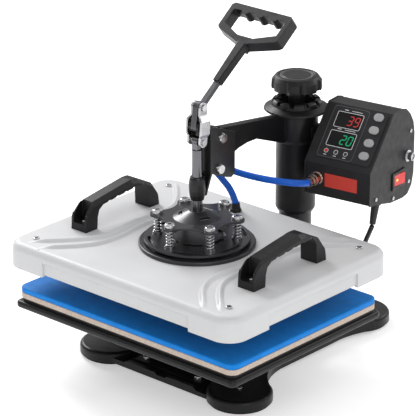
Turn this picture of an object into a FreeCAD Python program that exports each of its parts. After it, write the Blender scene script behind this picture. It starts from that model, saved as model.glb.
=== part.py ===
import FreeCAD, Part
import math
import os

from FreeCAD import Rotation, Vector

# A swing-away heat press. Millimetres, Z up. While it is built, X = Y = 0 is the plunger axis and Z = 0 is
# the table; the front of the press faces -Y. At the end everything is moved so that the origin is the
# centre of the bounding box's bottom, measured without the power cord and its plug.

# ---- driving dimensions --------------------------------------------------------------------------------
PAD_W = 380.0
PAD_D = 290.0
PAD_CORNER = 12.0
PAD_THICK = 8.0
BOARD_THICK = 7.0
PAD_TOP = 108.0
TRAY_TALL = 15.0

COVER_W = 400.0
COVER_D = 320.0
COVER_CORNER = 28.0
COVER_LOW = 142.0
COVER_TOP = 176.0
COVER_WALL = 2.5
COVER_SKIRT_STEP = 3.0
COVER_SKIRT_INSET = 2.5
COVER_TAB = 72.0
COVER_FILLET = 10.0
HEATER_THICK = 12.0
HEATER_LOW = 141.0

COLUMN_Y = 200.0
POST_R = 22.3
SLEEVE_R = 27.3
BUSH_WALL = 1.8
RUN_FIT = 0.05
SLEEVE_LOW = 167.0
SLEEVE_TOP = 311.0
SLEEVE_BOSS_LOW = 268.0
POST_TOP = 313.0

FOOT_R = 43.5
FRONT_FOOT_X = 114.0
FRONT_FOOT_Y = -45.0
REAR_FOOT_X = 68.0
REAR_FOOT_Y = 257.0
PAD_FOOT_TALL = 4.0
BASE_TOP = 18.0
DECK_TOP = 10.0

BOLT_CIRCLE = 53.2
SPRING_COUNT = 6
DISC_R = 77.3
DISC_TOP = 181.0
SLOT_DISC_R = 70.0
SLOT_DISC_LOW = 184.0
SLOT_DISC_TOP = 187.0
SPIDER_LOW = 212.0
SPIDER_THICK = 3.0
ROD_R = 7.0
ROD_LOW = 224.0

PIVOT_Z = 339.5
UPPER_PIN_Y = 4.0
UPPER_PIN_Z = 365.5
LOWER_PIN_Z = 320.0
LEVER_REST_DEG = 37.7
LEVER_Y = 10.9
LEVER_Z = 364.0
BAR_LIFT = 2.7
BAR_SIDE = 7.0
GRIP_THICK = 17.0

BOX_X = 54.0
BOX_Y = 154.0
BOX_TURN_DEG = 9.0
BOX_W = 100.0
BOX_LIFT = 105.5
BOX_WALL = 2.0
BUTTON_TRAVEL = 1.0

POWER_CORD_D = 6.5
HEATER_CABLE_D = 9.0
FLOOR = 0.0

HANDLE_X = 147.0
HANDLE_W = 27.0
GLAND_XY = (-38.0, 120.0)
GLAND_TOP = 188.0

UPPER_PIN_R = 3.5
LINK_THICK = 3.0
LINK_LOW_X = 8.5
LINK_MID_X = 10.8
LINK_TOP_X = 5.2

ARM_HALF = 10.0
BRACKET_THICK = 3.5
WEB_Y = 11.5
HEAD_BACK = 15.0
HEAD_BOLTS = ((32.0, 318.5), (27.5, 277.0))
EAR_IN = 4.4
EAR_OUT = 8.4
COLLAR_R = 11.0
COLLAR_LOW = 239.0
COLLAR_TOP = 270.5
PIVOT_PIN_HALF = 9.8
BEAM_HALF = 5.0
KNOB_LOW = 341.0
SPINDLE_R = 6.0
BUMP_X = 26.0

BUTTON_X = 81.3
BUTTON_YS = (22.5, 41.5, 60.5, 79.5)
DISPLAY_YS = ((28.0, 49.0), (56.0, 77.0))
LAMP_XS = (25.0, 39.7, 54.3)
LAMP_Y = 19.6
ROCKER_Y = 75.0
ROCKER_Z = 127.5
ROCKER_PIN_IN = 4.0
ROCKER_PIN_R = 1.2
FUSE_Y = 98.0
FUSE_Z = 154.0
SOCKET_X = 20.0
SOCKET_Z = 137.5
PLUG_REACH = 25.0
GLAND_U = 90.0
GLAND_V = 34.0

COIL_X = -80.0
COIL_Y = 354.0
COIL_MEAN_R = 36.0
COIL_HALF_W = 10.2
COIL_LOW = 1.2
COIL_TALL = 13.5
PLUG_AT = (-130.0, 317.0, 11.0)
PLUG_TAIL = 28.0
RELIEF_LONG = 30.0
RELIEF_GAP = 3.0

PANEL_LOW_Z = 158.0
PANEL_TOP_Y = 60.0
PANEL_TOP_Z = 223.5
PANEL_ANGLE = math.atan2(PANEL_TOP_Z - PANEL_LOW_Z, PANEL_TOP_Y)
BOTTOM_SLOPE = math.atan2(8.0, 30.0)
BOLT_HEAD_LOW = SPIDER_LOW + SPIDER_THICK
SUPPORT_HALF = 58.0
TRAY_TOP = PAD_TOP - PAD_THICK - BOARD_THICK

EPS = 0.01
X_AXIS = Vector(1, 0, 0)
Y_AXIS = Vector(0, 1, 0)
Z_AXIS = Vector(0, 0, 1)

HEATER_ROUTE = [Vector(77.6, 118, 246.4), Vector(69, 103, 249.8), Vector(48, 94, 250),
                Vector(22.6, 87, 250.5), Vector(0, 81, 252.6), Vector(-20, 76, 256.5), Vector(-41, 79, 254),
                Vector(-53, 91, 242), Vector(-49, 106, 223), Vector(-41, 116, 205)]
POWER_ROUTE = [Vector(124, 197, 150), Vector(105, 204, 115), Vector(86, 212, 80), Vector(70, 222, 50),
               Vector(48, 236, 30), Vector(22, 254, 23.5), Vector(-4, 276, 17), Vector(-28, 298, 7.5),
               Vector(-54, 314, 4.6), Vector(-78, 318, 4.6)]


# ---- small helpers -------------------------------------------------------------------------------------
def block(x0, x1, y0, y1, z0, z1):
    return Part.makeBox(x1 - x0, y1 - y0, z1 - z0, Vector(x0, y0, z0))


def rod_z(x, y, z0, z1, r):
    return Part.makeCylinder(r, z1 - z0, Vector(x, y, z0), Z_AXIS)


def rod_x(y, z, x0, x1, r):
    return Part.makeCylinder(r, x1 - x0, Vector(x0, y, z), X_AXIS)


def rod_y(x, z, y0, y1, r):
    return Part.makeCylinder(r, y1 - y0, Vector(x, y0, z), Y_AXIS)


def joined(shapes):
    result = shapes[0].multiFuse(shapes[1:]) if len(shapes) > 1 else shapes[0]
    result = result.removeSplitter()
    if result.Volume < 0:
        result.reverse()
    return result.Solids[0] if len(result.Solids) == 1 else result


def cut(shape, tools):
    for tool in tools:
        shape = shape.cut(tool)
    return shape.Solids[0] if len(shape.Solids) == 1 else shape


def mirrored_x(shape):
    return shape.mirror(Vector(0, 0, 0), X_AXIS)


def turned(shape, centre, axis, degrees):
    copy = shape.copy()
    copy.rotate(centre, axis, degrees)
    return copy


def moved(shape, x, y, z):
    copy = shape.copy()
    copy.translate(Vector(x, y, z))
    return copy


def prism(points, direction):
    """Extrude a closed polygon of 3-D points along a vector."""
    wire = Part.makePolygon(points + [points[0]])
    return Part.Face(wire).extrude(direction)


def prism_x(yz, x0, x1):
    return prism([Vector(x0, y, z) for y, z in yz], Vector(x1 - x0, 0, 0))


def prism_y(xz, y0, y1):
    return prism([Vector(x, y0, z) for x, z in xz], Vector(0, y1 - y0, 0))


def prism_z(xy, z0, z1):
    return prism([Vector(x, y, z0) for x, y in xy], Vector(0, 0, z1 - z0))


def edges_where(shape, test):
    return [edge for edge in shape.Edges if test(edge)]


def is_upright(edge):
    first, last = edge.Vertexes[0].Point, edge.Vertexes[-1].Point
    return abs(first.x - last.x) < EPS and abs(first.y - last.y) < EPS and abs(first.z - last.z) > EPS


def at_height(z):
    def test(edge):
        return abs(edge.BoundBox.ZMin - z) < EPS and abs(edge.BoundBox.ZMax - z) < EPS

    return test


def rounded_slab(w, d, z0, z1, corner, edge=0.0):
    """A centred slab with rounded upright corners, and its top edge rounded if asked."""
    slab = block(-w / 2, w / 2, -d / 2, d / 2, z0, z1)
    slab = slab.makeFillet(corner, edges_where(slab, is_upright))
    if edge:
        slab = slab.makeFillet(edge, edges_where(slab, at_height(z1)))
    return slab


def turned_profile(points, x=0.0, y=0.0):
    """Revolve (radius, height) points round the upright axis through x, y."""
    wire = Part.makePolygon([Vector(x + r, y, z) for r, z in points + [points[0]]])
    return Part.Face(wire).revolve(Vector(x, y, 0), Z_AXIS, 360)


def capsule(first, last, r, x0, x1):
    """A flat link along X thickness between two (y, z) centres with round ends."""
    a, b = Vector(x0, *first), Vector(x0, *last)
    along = (b - a).normalize()
    side = along.cross(X_AXIS) * r
    web = prism([a + side, b + side, b - side, a - side], Vector(x1 - x0, 0, 0))
    return joined([web, rod_x(*first, x0, x1, r), rod_x(*last, x0, x1, r)])


def hex_head(x, y, z, axis, across, tall):
    """A hexagon head standing on (x, y, z) along the axis."""
    r = across / math.sqrt(3)
    angles = [math.radians(60 * k) for k in range(6)]
    corners = [Vector(r * math.cos(angle), r * math.sin(angle), 0) for angle in angles]
    head = prism(corners, Vector(0, 0, tall))
    head = head.common(Part.makeCone(r * 1.02, across * 0.46, tall * 1.0))
    rotation = Rotation(Z_AXIS, axis)
    head.Placement = FreeCAD.Placement(Vector(x, y, z), rotation)
    return head


def screw_head(centre, axis, r, tall, recess=0.5):
    """A low round head with a cross recess, standing on centre along the axis."""
    head = Part.makeCylinder(r, tall)
    head = head.makeFillet(tall * 0.45, edges_where(head, at_height(tall)))
    bar = block(-r * recess, r * recess, -r * 0.12, r * 0.12, tall * 0.45, tall + 1)
    head = cut(head, [bar, turned(bar, Vector(0, 0, 0), Z_AXIS, 90)])
    head.Placement = FreeCAD.Placement(centre, Rotation(Z_AXIS, axis))
    return head


def group(shapes):
    return Part.makeCompound(shapes)


def cord_path(points):
    """Straight runs joined by tangent arcs as large as the runs allow. Gives the wire and the radii."""
    edges, radii, here = [], [], points[0]
    for before, corner, after in zip(points, points[1:], points[2:]):
        into = (corner - before).normalize()
        out = (after - corner).normalize()
        half = into.getAngle(out) / 2
        shorter = min((corner - before).Length, (after - corner).Length)
        radius = 0.45 * shorter / math.tan(half)
        reach = radius * math.tan(half)
        start, end = corner - into * reach, corner + out * reach
        inward = (out - into).normalize()
        middle = corner + inward * (radius / math.cos(half) - radius)
        edges.append(Part.LineSegment(here, start).toShape())
        edges.append(Part.Arc(start, middle, end).toShape())
        radii.append(radius)
        here = end
    edges.append(Part.LineSegment(here, points[-1]).toShape())
    return Part.Wire(edges), radii


def cord_tube(name, points, diameter):
    wire, radii = cord_path(points)
    circle = Part.Circle(points[0], points[1] - points[0], diameter / 2)
    tube = wire.makePipeShell([Part.Wire([circle.toShape()])], True, False)
    section = math.pi * diameter * diameter / 4
    print(name, "length %.1f" % wire.Length, "volume ratio %.4f" % (tube.Volume / (section * wire.Length)))
    print("  radii", " ".join("%.0f" % r for r in radii))
    return tube.Solids[0] if tube.Solids else tube


# ---- base ----------------------------------------------------------------------------------------------
def foot_places():
    return [
        (FRONT_FOOT_X, FRONT_FOOT_Y),
        (-FRONT_FOOT_X, FRONT_FOOT_Y),
        (REAR_FOOT_X, REAR_FOOT_Y),
        (-REAR_FOOT_X, REAR_FOOT_Y),
    ]


def side_arm():
    """The right arm of the base: it waists between the front and the rear foot."""
    low, top = PAD_FOOT_TALL, BASE_TOP
    p1, p2, p3, p4 = Vector(133, -8, low), Vector(108, 20, low), Vector(96, 60, low), Vector(96, 170, low)
    p5, p6 = Vector(98.5, 205, low), Vector(112, 240, low)
    q1, q2, q3 = Vector(44, 244, low), Vector(62, 120, low), Vector(84, -20, low)
    edges = [Part.Arc(p1, p2, p3).toShape(), Part.LineSegment(p3, p4).toShape(),
             Part.Arc(p4, p5, p6).toShape()]
    edges += [Part.LineSegment(p6, q1).toShape(), Part.Arc(q1, q2, q3).toShape()]
    edges += [Part.LineSegment(q3, p1).toShape()]
    return Part.Face(Part.Wire(edges)).extrude(Vector(0, 0, top - low))


def front_rail():
    """The low front wall of the base, with two shallow notches in its top edge."""
    outline = [(-85, PAD_FOOT_TALL), (85, PAD_FOOT_TALL), (85, 10), (66, 10), (60, 14), (14, 14), (10, 11)]
    outline += [(-4, 11), (-8, 14), (-58, 14), (-64, 11), (-85, 11)]
    return prism_y(outline, -76, -70)


def base_casting():
    lows, tops = PAD_FOOT_TALL, BASE_TOP
    feet = []
    for x, y in foot_places():
        foot = rod_z(x, y, lows, tops, FOOT_R)
        feet.append(foot.makeFillet(5.0, edges_where(foot, at_height(tops))))
    arm = side_arm()
    deck = prism_z([(-92, -76), (92, -76), (60, 245), (-60, 245)], lows, DECK_TOP)
    rear = block(-60, 60, 228, 262, lows, tops)
    socket = turned_profile([(POST_R, lows), (36, lows), (36, 34), (32, 46), (POST_R, 46)], 0, COLUMN_Y)
    ribs = [block(-4, 4, COLUMN_Y - 74, COLUMN_Y - 26, lows, 24),
            block(-84, 84, COLUMN_Y - 4, COLUMN_Y + 4, lows, 20)]
    casting = joined(feet + [arm, mirrored_x(arm), deck, rear, front_rail(), socket] + ribs)
    hollow = rod_z(0, COLUMN_Y, lows - 1, 60, POST_R)
    holes = [rod_z(x, y, lows - 1, 12, 2.6) for x, y in support_bolt_places()]
    return cut(casting, [hollow] + holes)


def foot_pads():
    pads = []
    for x, y in foot_places():
        pad = rod_z(x, y, FLOOR, PAD_FOOT_TALL, FOOT_R - 3)
        pads.append(pad.makeFillet(1.2, edges_where(pad, at_height(FLOOR))))
    return group(pads)


def foot_screws():
    return [screw_head(Vector(x, y, BASE_TOP), Z_AXIS, 3.6, 2.2) for x, y in foot_places()]


def column_post():
    """The steel tube, closed at its top by the threaded plug that takes the knob's spindle."""
    wall, plug_low, plug_r = POST_R - 3, POST_TOP - 16, SPINDLE_R + 0.3
    return turned_profile([(wall, PAD_FOOT_TALL), (POST_R, PAD_FOOT_TALL), (POST_R, POST_TOP),
                           (plug_r, POST_TOP), (plug_r, plug_low), (wall, plug_low)], 0, COLUMN_Y)


def support_bolt_places():
    return [(x, y) for x in (-46, 46) for y in (-50, 111)]


def tray_bolt_places():
    return [(x, y) for x in (-44, 44) for y in (-20, 80)]


SUPPORT_TOP = PAD_TOP - PAD_THICK - BOARD_THICK - 4.5


def platen_support():
    """A bent plate bridge that carries the lower platen: top, front and rear walls, and two foot flanges."""
    t = 3.0
    outline = [(-60, DECK_TOP), (-38, DECK_TOP), (-38, SUPPORT_TOP - t), (98, SUPPORT_TOP - t),
               (98, DECK_TOP)]
    outline += [(120, DECK_TOP), (120, DECK_TOP + t), (98 + t, DECK_TOP + t), (98 + t, SUPPORT_TOP)]
    outline += [(-38 - t, SUPPORT_TOP), (-38 - t, DECK_TOP + t), (-60, DECK_TOP + t)]
    bridge = prism_x(outline, -SUPPORT_HALF, SUPPORT_HALF)
    window = prism_y([(-38, 30), (38, 30), (28, 66), (-28, 66)], -60, 130)
    holes = [rod_z(x, y, DECK_TOP - 1, DECK_TOP + t + 1, 3.2) for x, y in support_bolt_places()]
    holes += [rod_z(x, y, SUPPORT_TOP - t - 1, SUPPORT_TOP + 1, 3.2) for x, y in tray_bolt_places()]
    return cut(bridge, [window] + holes)


def base_fasteners():
    """Foot screws, bolts of the platen support and bolts of the lower tray."""
    bolts = foot_screws()
    for x, y in support_bolt_places():
        head = hex_head(x, y, DECK_TOP + 3, Z_AXIS, 10, 4)
        bolts.append(joined([head, rod_z(x, y, PAD_FOOT_TALL + 1, DECK_TOP + 4, 2.5)]))
    for x, y in tray_bolt_places():
        head = hex_head(x, y, SUPPORT_TOP - 3, -Z_AXIS, 10, 4)
        bolts.append(joined([head, rod_z(x, y, SUPPORT_TOP - 4, SUPPORT_TOP + 3, 2.5)]))
    return group(bolts)


def lower_tray():
    """A pressed tray: a flat top, a grooved step and a rolled hem all round."""
    top = rounded_slab(PAD_W - 4, PAD_D - 4, TRAY_TOP - 6, TRAY_TOP, 8)
    hem = rounded_slab(PAD_W + 6, PAD_D + 8, TRAY_TOP - TRAY_TALL, TRAY_TOP - 5, 8)
    rims = edges_where(hem, at_height(TRAY_TOP - 5)) + edges_where(hem, at_height(TRAY_TOP - TRAY_TALL))
    hem = hem.makeFillet(4.0, rims)
    hollow = rounded_slab(PAD_W - 12, PAD_D - 12, TRAY_TOP - TRAY_TALL - 1, TRAY_TOP - 4.5, 6)
    holes = [rod_z(x, y, TRAY_TOP - 6, TRAY_TOP - 1.4, 2.5) for x, y in tray_bolt_places()]
    return cut(joined([top, hem]), [hollow] + holes)


def pad_board():
    return rounded_slab(PAD_W, PAD_D, TRAY_TOP, TRAY_TOP + BOARD_THICK, PAD_CORNER)


def silicone_pad():
    return rounded_slab(PAD_W, PAD_D, TRAY_TOP + BOARD_THICK, PAD_TOP, PAD_CORNER, 1.5)


# ---- upper platen --------------------------------------------------------------------------------------
def cover():
    w, d = COVER_W, COVER_D
    shell = rounded_slab(w, d, COVER_LOW, COVER_TOP, COVER_CORNER, COVER_FILLET)
    skirt = COVER_LOW + COVER_SKIRT_STEP
    inset = COVER_SKIRT_INSET
    span_x, span_y = w / 2 - COVER_TAB, d / 2 - COVER_TAB
    tools = []
    for s in (-1, 1):
        y0, y1 = sorted([s * d / 2, s * (d / 2 - inset)])
        tools.append(block(-span_x, span_x, y0 - EPS, y1 + EPS, COVER_LOW - 1, COVER_TOP - 14))
        x0, x1 = sorted([s * w / 2, s * (w / 2 - inset)])
        tools.append(block(x0 - EPS, x1 + EPS, -span_y, span_y, COVER_LOW - 1, COVER_TOP - 14))
    tools.append(block(-span_x, span_x, -d, d, COVER_LOW - 1, skirt))
    tools.append(block(-w, w, -span_y, span_y, COVER_LOW - 1, skirt))
    wall = COVER_WALL + inset
    tools.append(rounded_slab(w - 2 * wall, d - 2 * wall, COVER_LOW - 1, COVER_TOP - COVER_WALL, 20))
    tools += [rod_z(x, y, COVER_TOP - 5, COVER_TOP + 5, 2.1) for x, y in cover_screw_places()]
    return cut(shell, tools)


def cover_screw_places():
    return [(x, y) for x in (-169, 169) for y in (-129, 129)]


def cover_screws():
    screws = []
    for x, y in cover_screw_places():
        head = screw_head(Vector(x, y, COVER_TOP), Z_AXIS, 4.2, 2.4)
        screws.append(joined([head, rod_z(x, y, HEATER_LOW + HEATER_THICK, COVER_TOP + 0.5, 2.0)]))
    return screws


def heating_plate():
    return rounded_slab(PAD_W, PAD_D, HEATER_LOW, HEATER_LOW + HEATER_THICK, PAD_CORNER)


def heating_element():
    """A flat-topped hairpin rod clamped on the back of the heating plate."""
    z, r = HEATER_LOW + HEATER_THICK, 3.5
    runs = [block(-150, 150, y - r, y + r, z, z + 2 * r) for y in (-90, -30, 30, 90)]
    turns = [block(140, 150, -90, -30, z, z + 2 * r), block(140, 150, 30, 90, z, z + 2 * r)]
    turns.append(block(-150, -140, -30, 30, z, z + 2 * r))
    return joined(runs + turns)


def insulation_sheet():
    low = HEATER_LOW + HEATER_THICK + 7
    sheet = rounded_slab(PAD_W - 8, PAD_D - 8, low, COVER_TOP - COVER_WALL - 1, 12)
    holes = [rod_z(x, y, low - 1, COVER_TOP, 3.0) for x, y in cover_screw_places()]
    return cut(sheet, holes)


def spring_angles():
    return [math.radians(30 + 60 * k) for k in range(SPRING_COUNT)]


def spring_places():
    return [(BOLT_CIRCLE * math.cos(a), BOLT_CIRCLE * math.sin(a)) for a in spring_angles()]


def mounting_disc():
    disc = rod_z(0, 0, COVER_TOP, DISC_TOP, DISC_R)
    disc = disc.makeFillet(1.5, edges_where(disc, at_height(DISC_TOP)))
    boss = rod_z(0, 0, DISC_TOP, SLOT_DISC_LOW, 62)
    holes = [rod_z(x, y, COVER_TOP - 1, SLOT_DISC_LOW + 1, 3.0) for x, y in spring_places()]
    return cut(joined([disc, boss]), holes)


def arc_slot(radius, width, from_deg, to_deg, z0, z1):
    """A kidney slot with round ends, as a solid to cut away."""
    ring = turned_profile([(radius - width / 2, z0), (radius + width / 2, z0), (radius + width / 2, z1),
                           (radius - width / 2, z1)])
    big = 3 * radius
    middle = math.radians((from_deg + to_deg) / 2)
    half = math.radians((to_deg - from_deg) / 2)
    tip = big / math.cos(half)
    wedge = prism_z([(0, 0), (tip * math.cos(middle - half), tip * math.sin(middle - half)),
                     (tip * math.cos(middle + half), tip * math.sin(middle + half))], z0, z1)
    ends = [rod_z(radius * math.cos(math.radians(a)), radius * math.sin(math.radians(a)), z0, z1, width / 2)
            for a in (from_deg, to_deg)]
    return joined([ring.common(wedge)] + ends)


def slotted_disc():
    z0, z1 = SLOT_DISC_LOW, SLOT_DISC_TOP
    disc = rod_z(0, 0, z0, z1, SLOT_DISC_R)
    tools = [arc_slot(34, 7, 60 * k - 14, 60 * k + 20, z0 - 1, z1 + 1) for k in range(SPRING_COUNT)]
    tools += [arc_slot(63, 5, 60 * k - 16, 60 * k + 10, z0 - 1, z1 + 1) for k in range(SPRING_COUNT)]
    tools += [rod_z(x, y, z0 - 1, z1 + 1, 3.0) for x, y in spring_places()]
    return cut(disc, tools)


def spring_bolts():
    bolts = []
    for x, y in spring_places():
        head = screw_head(Vector(x, y, BOLT_HEAD_LOW), Z_AXIS, 7.2, 5.5, 0.4)
        washer = rod_z(x, y, SLOT_DISC_TOP, SLOT_DISC_TOP + 3, 6.6)
        bolts.append(joined([head, washer, rod_z(x, y, COVER_TOP + 0.5, BOLT_HEAD_LOW + 1, 3.0)]))
    return group(bolts)


def float_springs():
    low, top = SLOT_DISC_TOP + 3, SPIDER_LOW
    return group([cut(rod_z(x, y, low, top, 5.8), [rod_z(x, y, low - 1, top + 1, 3.6)])
                  for x, y in spring_places()])


def handle_profile():
    """Side view of a platen handle, (y, height) from its feet: the grip rises towards the back."""
    outer = [(-72, 0), (-71, 18), (-67, 29), (-58, 37.5), (20, 48.5), (31, 48), (60, 33), (68, 22), (71, 0)]
    inner = [(52, 0), (51, 28), (44, 38), (16, 37), (-38, 31.5), (-46, 26), (-49, 16), (-50, 0)]
    return outer, inner


def crown_chamfer(side):
    """The wedge to cut away along one upper edge of a handle."""
    crown = [(-69, 24), (-67, 29), (-58, 37.5), (20, 48.5), (31, 48), (60, 33), (68, 22), (69.5, 17)]
    reach, c = HANDLE_W / 2, 5.5
    wires = []
    for y, h in crown:
        corners = [(reach - c - 1, h + 1), (reach + 1, h + 1), (reach + 1, h - c - 1)]
        corners = [Vector(side * x, y, z) for x, z in corners]
        wires.append(Part.makePolygon(corners + corners[:1]))
    return Part.makeLoft(wires, True, True)


def handle(side):
    """A moulded bridge handle with finger ridges below the grip and a screw pocket in its front foot."""
    outer, inner = handle_profile()
    half = HANDLE_W / 2
    body = prism_x(outer + inner, -half, half)
    waves = [rod_x(y, 31.5 + 0.1 * y, -half - 1, half + 1, 5.0) for y in (-26, -10, 6, 22)]
    pocket = [block(-half + 3.5, half - 3.5, -80, -54, 10, 38)]
    body = cut(body, waves + pocket + [crown_chamfer(-1), crown_chamfer(1)])
    holes = [rod_z(0, y, -1, 12, 2.1) for y in (-60.5, 61.5)]
    return moved(cut(body, holes), side * HANDLE_X, 0, COVER_TOP)


def platen_handles():
    return group([handle(-1), handle(1)])


def platen_screws():
    """Four corner screws of the cover, and the screws at the front and rear feet of both handles."""
    screws = cover_screws()
    for side in (-1, 1):
        x = side * HANDLE_X
        head = screw_head(Vector(x, -60.5, COVER_TOP + 10), Z_AXIS, 4.0, 2.6)
        screws.append(joined([head, rod_z(x, -60.5, COVER_TOP + 0.5, COVER_TOP + 10.5, 2.0)]))
        screws.append(rod_z(x, 61.5, COVER_TOP + 0.5, COVER_TOP + 11, 2.0))
    return group(screws)


def cable_gland():
    """The gland on the cover that the blue heater cable enters."""
    x, y = GLAND_XY
    nut = hex_head(x, y, COVER_TOP, Z_AXIS, 15, 5)
    dome = turned_profile([(0, COVER_TOP + 4.5), (6.4, COVER_TOP + 4.5), (5.6, GLAND_TOP),
                           (0, GLAND_TOP)], x, y)
    return joined([nut, dome])


# ---- plunger and toggle --------------------------------------------------------------------------------
def spider_outline():
    """Six round lobes on the bolt circle, joined by hollow arcs."""
    lobe_r, waist = 10.0, 45.0
    edges = []
    for k in range(SPRING_COUNT):
        here, there = math.radians(30 + 60 * k), math.radians(90 + 60 * k)
        middle = math.radians(60 + 60 * k)
        centre = Vector(BOLT_CIRCLE * math.cos(here), BOLT_CIRCLE * math.sin(here), SPIDER_LOW)
        ahead = Vector(BOLT_CIRCLE * math.cos(there), BOLT_CIRCLE * math.sin(there), SPIDER_LOW)
        spread = math.radians(62)

        def on_lobe(at, angle):
            return at + Vector(lobe_r * math.cos(angle), lobe_r * math.sin(angle), 0)

        tip = on_lobe(centre, here)
        start, end = on_lobe(centre, here - spread), on_lobe(centre, here + spread)
        next_start = on_lobe(ahead, there - spread)
        dip = Vector(waist * math.cos(middle), waist * math.sin(middle), SPIDER_LOW)
        edges.append(Part.Arc(start, tip, end).toShape())
        edges.append(Part.Arc(end, dip, next_start).toShape())
    return Part.Wire(edges)


def spider_plate():
    """The sprung plate under the plunger: six lobes and a pressed dome with arc slots."""
    t = SPIDER_THICK
    z0, z1 = SPIDER_LOW, SPIDER_LOW + t
    plate = Part.Face(spider_outline()).extrude(Vector(0, 0, t))
    plate = cut(plate, [rod_z(0, 0, z0 - 1, z1 + 1, 30)])
    dome = turned_profile([(0, ROD_LOW - t), (10, ROD_LOW - t), (31, z0), (34, z0), (34, z1), (32, z1),
                           (11, ROD_LOW), (0, ROD_LOW)])
    slots = [arc_slot(22, 5, a - 14, a + 14, z0, ROD_LOW + 1) for a in (-20, 100, 220)]
    holes = [rod_z(x, y, z0 - 1, z1 + 1, 3.3) for x, y in spring_places()]
    return cut(joined([plate, dome]), slots + holes)


def plunger_rod():
    """The chrome plunger, with a flat tongue at its top for the toggle pin."""
    body = turned_profile([(0, ROD_LOW), (ROD_R, ROD_LOW), (ROD_R, 308), (0, 308)])
    tongue = block(-4.5, 4.5, -5.2, 5.2, 307, LOWER_PIN_Z)
    return joined([body, tongue, rod_x(0, LOWER_PIN_Z, -4.5, 4.5, 6.0)])


def lower_pin():
    """The toggle's lower pin, in two stubs that stop just short of the link plates."""
    return group([rod_x(0, LOWER_PIN_Z, 5, LINK_LOW_X - 0.5, 3.5),
                  rod_x(0, LOWER_PIN_Z, 0.5 - LINK_LOW_X, -5, 3.5)])


def link_frame(shape):
    """Lean a link drawn upright over the lower pin, so that it reaches the upper pin."""
    lean = math.degrees(math.atan2(UPPER_PIN_Y, UPPER_PIN_Z - LOWER_PIN_Z))
    return turned(shape, Vector(0, 0, LOWER_PIN_Z), X_AXIS, -lean)


def link_plate():
    """The right link plate: joggled outwards in the middle to clear the fixed pivot."""
    length = math.hypot(UPPER_PIN_Y, UPPER_PIN_Z - LOWER_PIN_Z)
    low, top = LOWER_PIN_Z, LOWER_PIN_Z + length
    t = LINK_THICK
    a, b, c = LINK_LOW_X, LINK_MID_X, LINK_TOP_X
    inner = [(a, low - 8), (a, low + 6), (b, low + 11), (b, low + 28), (c, low + 36), (c, top + 8)]
    outer = [(x + t, z) for x, z in reversed(inner)]
    strip = prism_y(inner + outer, -9, 9)
    side = joined([capsule((0, low), (0, top), 7.0, 0, 30),
                   capsule((0, low + 12), (0, low + 28), 8.5, 0, 30)])
    plate = strip.common(side)
    plate = cut(plate, [rod_x(0, top, 0, 30, UPPER_PIN_R + RUN_FIT)])
    rivet = rod_x(0, low, a + 1, a + t + 2.2, 4.2)
    return link_frame(joined([plate.Solids[0], rivet]))


def link_plates():
    """The pair of link plates, each with the round head of its lower rivet."""
    plate = link_plate()
    return group([plate, mirrored_x(plate)])


def upper_pin():
    """The pin that joins the lever to both link plates, with a head at each end."""
    outer = LINK_TOP_X + LINK_THICK
    stem = rod_x(UPPER_PIN_Y, UPPER_PIN_Z, -outer - 0.3, outer + 0.3, UPPER_PIN_R)
    heads = [rod_x(UPPER_PIN_Y, UPPER_PIN_Z, s * (outer + 1.3) - 1, s * (outer + 1.3) + 1, 4.6)
             for s in (-1, 1)]
    return joined([stem] + heads)


def pivot_pin():
    """The fixed pin, through both ears of the bracket, that the lever's crank turns on."""
    return rod_x(0, PIVOT_Z, -PIVOT_PIN_HALF, PIVOT_PIN_HALF, 3.5)


def lever_frame(shape):
    """Place a shape drawn flat (X across, Y along the lever, Z above it) onto the resting lever."""
    copy = turned(shape, Vector(0, 0, 0), X_AXIS, LEVER_REST_DEG)
    return moved(copy, 0, LEVER_Y, LEVER_Z)


def lever_bar():
    """The square lever bar, with the flat crank cheek that turns on the fixed pivot."""
    half = BAR_SIDE / 2
    bar = lever_frame(block(-half, half, -4, 62, BAR_LIFT - half, BAR_LIFT + half))
    eye = rod_x(UPPER_PIN_Y, UPPER_PIN_Z, -half, half, 7.5)
    cheek = capsule((0, PIVOT_Z), (UPPER_PIN_Y, UPPER_PIN_Z), 7.5, -4.0, 4.0)
    bar = joined([bar, eye, cheek])
    return cut(bar, [rod_x(0, PIVOT_Z, -20, 20, 3.5 + RUN_FIT),
                     rod_x(UPPER_PIN_Y, UPPER_PIN_Z, -20, 20, UPPER_PIN_R)])


def lever_grip():
    """The moulded grip: a sleeve over the bar and a D handle with finger waves."""
    h = GRIP_THICK / 2
    outer = [(-6, 96), (-6, 100), (-48, 114), (-51.5, 117.5), (-51.5, 153.5), (-48, 157), (48, 157),
             (51.5, 153.5), (51.5, 117.5), (48, 114), (6, 100), (6, 96)]
    inner = [(-44, 124), (-44, 145.5), (-42, 147.5), (42, 147.5), (44, 145.5), (44, 124), (13, 111),
             (-13, 111)]
    loop = prism_z(outer, -h, h)
    hole = prism_z(inner, -h - 1, h + 1)
    loop = cut(loop, [hole])
    crests = [rod_z(x, 150.0, -h, h, 6.5) for x in (-24, 0, 24)]
    flat = h - 2.5
    sleeve = prism_z([(-5.2, 38), (5.2, 38), (7.2, 102), (-7.2, 102)], BAR_LIFT - flat, BAR_LIFT + flat)
    sleeve = sleeve.makeFillet(1.6, edges_where(sleeve, lambda e: e.BoundBox.YLength > 50))
    grip = joined([loop, sleeve] + crests)
    half = BAR_SIDE / 2
    return lever_frame(cut(grip, [block(-half, half, 0, 62, BAR_LIFT - half, BAR_LIFT + half)]))


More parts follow.
